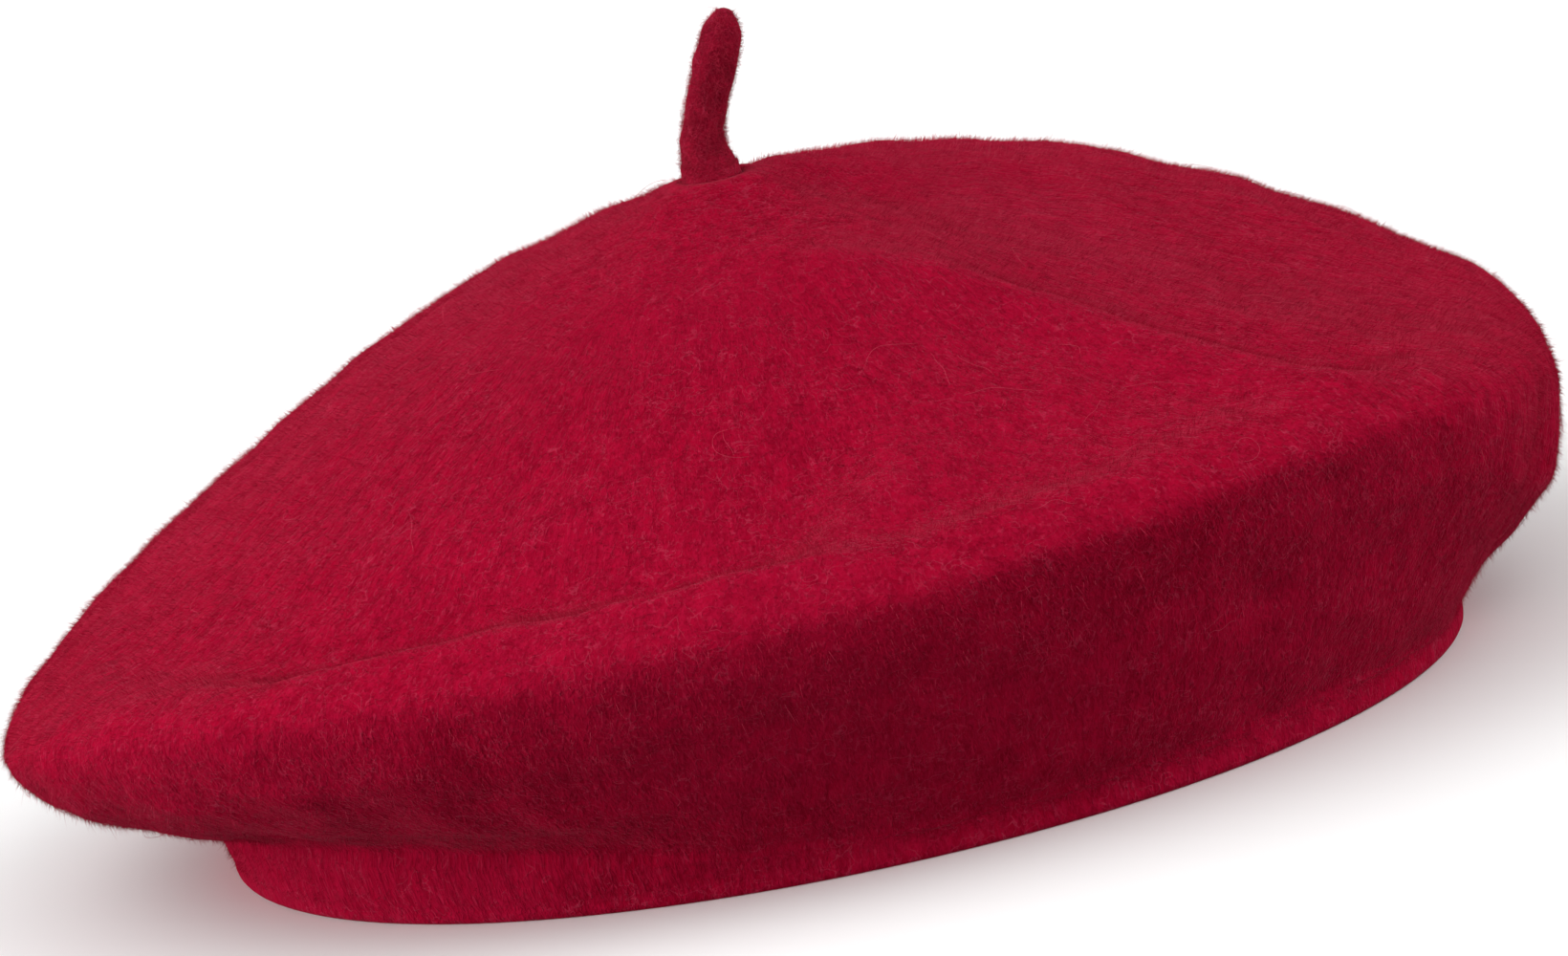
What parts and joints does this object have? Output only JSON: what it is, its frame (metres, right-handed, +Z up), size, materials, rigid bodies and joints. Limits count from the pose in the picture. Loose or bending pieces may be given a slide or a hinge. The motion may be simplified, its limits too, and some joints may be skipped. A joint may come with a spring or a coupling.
{
  "type": "beret",
  "caption": "Soft felted wool beret with a full round crown that falls to one side, a short felt stalk on top, and a lined inside with a sweatband.",
  "frame": {"origin": "middle of the crown's outline, in the plane of the mouth's rim", "axes": "+Z up, out of the crown towards the stalk; +X the forehead side; -X the nape side, which the crown falls towards"},
  "size_m": [0.2589, 0.2338, 0.1221],
  "materials": {
    "crown_felt": "brushed wool felt",
    "stalk_felt": "brushed wool felt",
    "wool_thread": "matte wool yarn",
    "ribbon": "ribbed grosgrain",
    "sweatband_hide": "smooth satin",
    "sewing_thread": "satin thread",
    "lining_satin": "satin",
    "patch_cloth": "woven twill",
    "label_cloth": "woven satin tape"
  },
  "bodies": {
    "hat": {"felt_shell": "crown_felt", "stalk_anchor": "wool_thread", "stay_tape": "ribbon", "sweatband": "sweatband_hide", "sweatband_join": "ribbon", "sweatband_bow": "ribbon", "rim_stitching": "sewing_thread", "lining_tip": "lining_satin", "lining_side": "lining_satin", "lining_seam": "sewing_thread", "lining_hem_stitching": "sewing_thread", "lining_patch": "patch_cloth"},
    "stalk_root": {"stalk_binding": "wool_thread"},
    "stalk": {"stalk": "stalk_felt"},
    "size_label": {"size_label": "label_cloth"},
    "care_label": {"care_label": "label_cloth"}
  },
  "joints": [
    {"name": "stalk_nod", "type": "hinge", "parent": "hat", "child": "stalk_root", "pos_m": [0.0025, 0, 0.0938], "axis": [1, 0, 0], "range_deg": [-22, 22], "stiffness_Nm_per_rad": 0.004},
    {"name": "stalk_lean", "type": "hinge", "parent": "stalk_root", "child": "stalk", "pos_m": [0.0025, 0, 0.0938], "axis": [0, 1, 0], "range_deg": [-30, 18], "stiffness_Nm_per_rad": 0.004},
    {"name": "size_label_flip", "type": "hinge", "parent": "hat", "child": "size_label", "pos_m": [0.005, 0.083, 0.0252], "axis": [-1, 0, 0], "range_deg": [0, 95]},
    {"name": "care_label_flip", "type": "hinge", "parent": "hat", "child": "care_label", "pos_m": [0.005, -0.0825, 0.0252], "axis": [1, 0, 0], "range_deg": [0, 95]}
  ]
}
